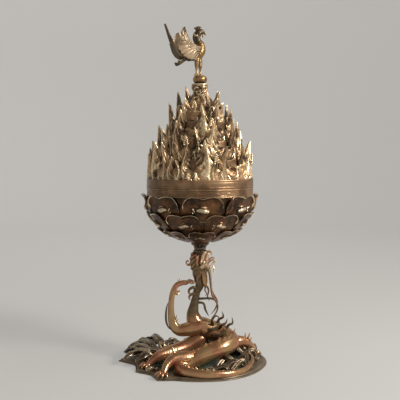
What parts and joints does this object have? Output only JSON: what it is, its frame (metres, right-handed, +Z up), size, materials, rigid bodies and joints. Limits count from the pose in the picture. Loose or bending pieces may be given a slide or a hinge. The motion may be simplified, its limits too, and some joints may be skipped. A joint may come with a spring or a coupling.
{
  "type": "hill censer",
  "caption": "Bronze incense burner: a petal-covered bowl held in a dragon's jaws on a round base, with a lift-off lid of tiered mountain peaks and a bird finial.",
  "frame": {"origin": "on the floor, on the bottom face of the base plate, under the bowl's axis", "axes": "+Z up along the bowl's axis, +X to the viewer's right in the pictured view, +Y away from the viewer"},
  "size_m": [0.276, 0.245, 0.6191],
  "materials": {
    "bronze": "dark brown patinated bronze, worn to reddish gold on raised edges",
    "dark_bronze": "nearly black patina with green in the hollows",
    "gilt_bronze": "worn gilding over brown bronze"
  },
  "bodies": {
    "stand": {"base_plate": "dark_bronze", "wave_scrolls": "bronze", "wave_crests": "bronze", "dragon_body": "bronze", "dragon_spines": "bronze", "raised_foreleg": "bronze", "planted_foreleg": "bronze", "front_hindleg": "bronze", "side_hindleg": "bronze", "dragon_head": "bronze", "dragon_jaw": "bronze", "dragon_horns": "bronze", "dragon_mane": "bronze", "stem_rivet": "dark_bronze", "bowl_collar": "dark_bronze", "collar_rivet": "dark_bronze", "bowl_shell": "bronze", "petals_lower": "bronze", "petals_middle": "bronze", "petals_upper": "bronze"},
    "lid": {"lid_shell": "bronze", "foothill_range": "bronze", "middle_range": "bronze", "upper_range": "bronze", "summit_range": "bronze", "rock_pillar": "bronze", "finial_bead": "gilt_bronze", "finial_wedge": "dark_bronze", "bird_legs": "gilt_bronze", "bird_body": "gilt_bronze", "bird_crest": "gilt_bronze", "bird_near_wing": "gilt_bronze", "bird_far_wing": "gilt_bronze", "bird_tail": "gilt_bronze"}
  },
  "joints": [
    {"name": "lid_lift", "type": "slide", "parent": "stand", "child": "lid", "axis": [0, 0, 1], "range_m": [0, 0.2]}
  ]
}
